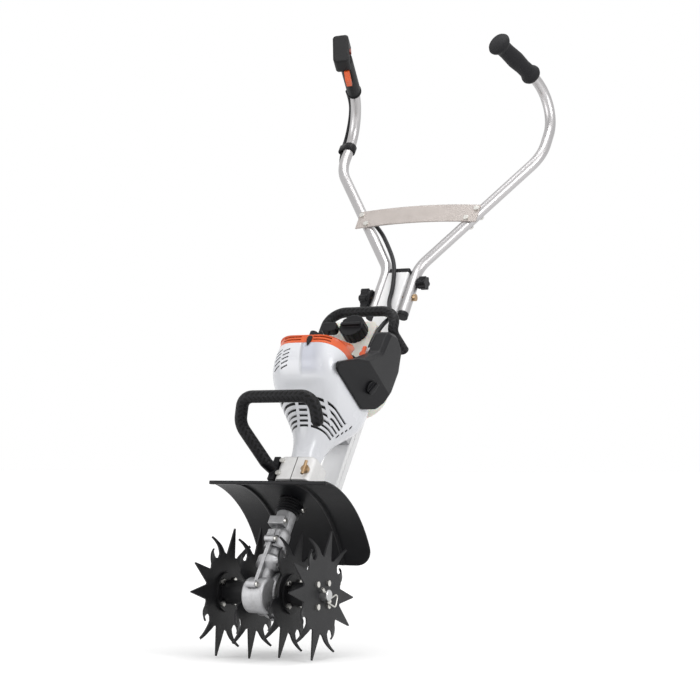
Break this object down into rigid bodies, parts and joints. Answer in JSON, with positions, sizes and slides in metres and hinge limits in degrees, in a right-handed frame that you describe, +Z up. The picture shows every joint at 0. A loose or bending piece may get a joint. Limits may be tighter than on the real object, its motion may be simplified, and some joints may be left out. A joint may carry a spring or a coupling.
{
  "type": "mini tiller",
  "caption": "Engine-driven hand tiller: star tines on a worm gearbox, slanted rail with cowled engine and tank, curved guard and wide folding handlebar with throttle control.",
  "frame": {"origin": "centre of the bounding box on the ground under the tines", "axes": "+X to the machine's right seen from the front of the picture, +Y back towards the handlebar, +Z up"},
  "size_m": [0.488, 0.8622, 1.2275],
  "materials": {
    "black_steel": "satin black paint",
    "zinc_steel": "zinc plated",
    "bright_steel": "turned steel",
    "cast_aluminium": "die cast, tumbled",
    "bright_aluminium": "drawn tube, clear finish",
    "brace_aluminium": "pressed sheet",
    "bronze": "machined bronze",
    "passivated_steel": "yellow passivated",
    "white_plastic": "moulded, glossy",
    "orange_plastic": "moulded, glossy",
    "black_plastic": "moulded, fine grain",
    "black_rubber": "moulded, ribbed",
    "tank_plastic": "translucent, blow moulded",
    "red_plastic": "moulded",
    "cable_plastic": "smooth sleeve"
  },
  "bodies": {
    "frame": {"gearbox_left_half": "cast_aluminium", "gearbox_right_half": "cast_aluminium", "case_screws": "zinc_steel", "ball_bearings": "bright_steel", "drive_tube": "bright_aluminium", "shaft_bushes": "bronze", "guard_collar": "black_plastic", "mud_guard": "black_steel", "clamp_base": "cast_aluminium", "clamp_cap": "cast_aluminium", "front_handle": "black_plastic", "main_rail": "bright_aluminium", "rail_caps": "black_plastic", "engine_carrier": "cast_aluminium", "crankcase": "cast_aluminium", "cylinder": "cast_aluminium", "spark_plug": "zinc_steel", "plug_boot": "black_rubber", "muffler": "zinc_steel", "engine_cowl": "white_plastic", "top_cover": "orange_plastic", "air_filter_cover": "black_plastic", "starter_housing": "black_plastic", "carburettor": "cast_aluminium", "fuel_tank": "tank_plastic", "rear_handle": "black_plastic", "pivot_bolt": "passivated_steel"},
    "tines": {"tine_left_outer": "black_steel", "tine_left_inner": "black_steel", "tine_right_inner": "black_steel", "tine_right_outer": "black_steel", "tine_hubs": "black_steel", "tine_bolts": "zinc_steel", "axle": "bright_steel", "linch_pins": "zinc_steel", "worm_wheel": "bronze"},
    "drive_line": {"worm_shaft": "bright_steel", "drive_shaft": "bright_steel", "clutch_drum": "bright_steel"},
    "crank": {"crankshaft": "bright_steel", "flywheel_fan": "cast_aluminium", "clutch_shoes": "bright_steel"},
    "handlebar": {"left_tube": "bright_aluminium", "right_tube": "bright_aluminium", "tube_end_caps": "black_plastic", "cross_brace": "brace_aluminium", "brace_bolts": "passivated_steel", "right_grip": "black_rubber", "throttle_housing": "black_plastic", "throttle_cable": "cable_plastic"},
    "left_knob": {"left_knob": "black_plastic"},
    "right_knob": {"right_knob": "black_plastic"},
    "throttle_trigger": {"throttle_trigger": "orange_plastic"},
    "throttle_lockout": {"throttle_lockout": "black_plastic"},
    "stop_switch": {"stop_switch": "red_plastic"},
    "choke_lever": {"choke_lever": "orange_plastic"},
    "fuel_cap": {"fuel_cap": "black_plastic"},
    "filter_knob": {"filter_knob": "black_plastic"},
    "clamp_t_screw": {"clamp_t_screw": "zinc_steel"},
    "starter_grip": {"starter_grip": "black_plastic"}
  },
  "joints": [
    {"name": "tine_spin", "type": "hinge", "parent": "frame", "child": "tines", "pos_m": [0, -0.322, 0.11048], "axis": [1, 0, 0], "continuous": true},
    {"name": "drive_spin", "type": "hinge", "parent": "frame", "child": "drive_line", "pos_m": [0, -0.26619, 0.25535], "axis": [0, 0.5878, 0.809], "continuous": true},
    {"name": "crank_spin", "type": "hinge", "parent": "frame", "child": "crank", "pos_m": [0, -0.11925, 0.4576], "axis": [0, 0.5878, 0.809], "continuous": true},
    {"name": "handlebar_fold", "type": "hinge", "parent": "frame", "child": "handlebar", "pos_m": [0, 0.1493, 0.6605], "axis": [-1, 0, 0], "range_deg": [0, 130], "deforming": ["throttle_cable"]},
    {"name": "left_knob_turn", "type": "hinge", "parent": "frame", "child": "left_knob", "pos_m": [0, 0.1493, 0.6605], "axis": [1, 0, 0], "range_deg": [-720, 0]},
    {"name": "right_knob_turn", "type": "hinge", "parent": "handlebar", "child": "right_knob", "pos_m": [0, 0.17105, 0.69043], "axis": [1, 0, 0], "range_deg": [0, 720]},
    {"name": "trigger_squeeze", "type": "hinge", "parent": "handlebar", "child": "throttle_trigger", "pos_m": [-0.17506, 0.28629, 1.15021], "axis": [0.9362, 0.3396, 0.0905], "range_deg": [0, 14], "stiffness_Nm_per_rad": 0.4, "springref_deg": -5.73},
    {"name": "lockout_press", "type": "hinge", "parent": "handlebar", "child": "throttle_lockout", "pos_m": [-0.18762, 0.31617, 1.16793], "axis": [-0.9362, -0.3396, -0.0905], "range_deg": [0, 8], "stiffness_Nm_per_rad": 0.4, "springref_deg": -5.73},
    {"name": "stop_switch_slide", "type": "slide", "parent": "handlebar", "child": "stop_switch", "axis": [0.2286, -0.3928, -0.8908], "range_m": [0, 0.006]},
    {"name": "choke_turn", "type": "hinge", "parent": "frame", "child": "choke_lever", "pos_m": [0.059, -0.09002, 0.53525], "axis": [0, -0.809, 0.5878], "range_deg": [0, 60]},
    {"name": "fuel_cap_turn", "type": "hinge", "parent": "frame", "child": "fuel_cap", "pos_m": [0.01, -0.02755, 0.58381], "axis": [0, -0.809, 0.5878], "range_deg": [0, 720]},
    {"name": "filter_knob_turn", "type": "hinge", "parent": "frame", "child": "filter_knob", "pos_m": [0.08859, -0.11852, 0.47561], "axis": [0.9183, -0.2327, -0.3202], "range_deg": [0, 360]},
    {"name": "clamp_screw_turn", "type": "hinge", "parent": "frame", "child": "clamp_t_screw", "pos_m": [0.026, -0.22705, 0.30923], "axis": [0, -0.809, 0.5878], "range_deg": [0, 720]},
    {"name": "starter_pull", "type": "slide", "parent": "frame", "child": "starter_grip", "axis": [0, 0.5878, 0.809], "range_m": [0, 0.048], "stiffness_N_per_m": 30, "springref_m": -0.05}
  ],
  "couplings": [
    {"joint": "drive_spin", "follows": "tine_spin", "ratio": 23}
  ]
}
